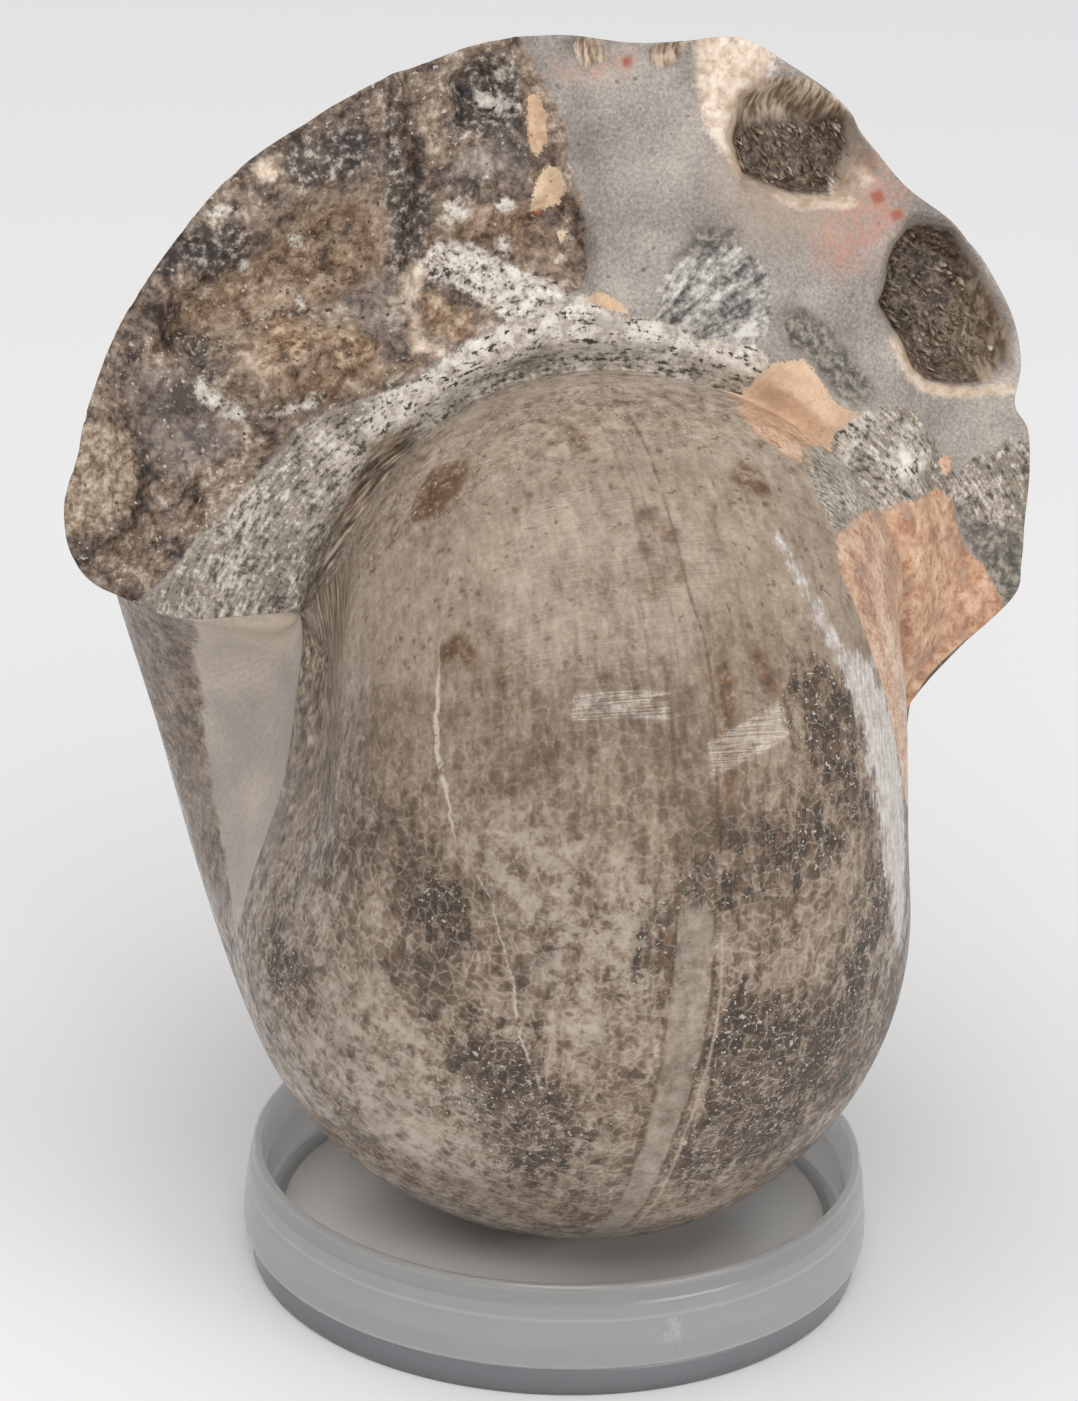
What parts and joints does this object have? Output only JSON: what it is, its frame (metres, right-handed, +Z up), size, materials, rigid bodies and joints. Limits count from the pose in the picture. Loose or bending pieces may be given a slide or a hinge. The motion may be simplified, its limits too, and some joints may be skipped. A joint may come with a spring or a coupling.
{
  "type": "fossil ammonite in a clear dish",
  "caption": "Broken, polished fossil ammonite with crystal-lined hollows in its open mouth, resting upright in a shallow round clear plastic dish.",
  "frame": {"origin": "centre of the whole object's footprint box, on the surface that the dish stands on", "axes": "+Z up; -Y is the front, towards which the smaller whorl bulges under the broken mouth; +X is to the right seen from the front"},
  "size_m": [0.0884, 0.0939, 0.118],
  "materials": {
    "polished_stone": "satin",
    "crystals": "gloss",
    "clear_plastic": "satin"
  },
  "bodies": {
    "root": {"ammonite": "polished_stone", "upper_pocket_crystals": "crystals", "side_pocket_crystals": "crystals", "left_hollow_crystals": "crystals", "dish": "clear_plastic"}
  },
  "joints": []
}
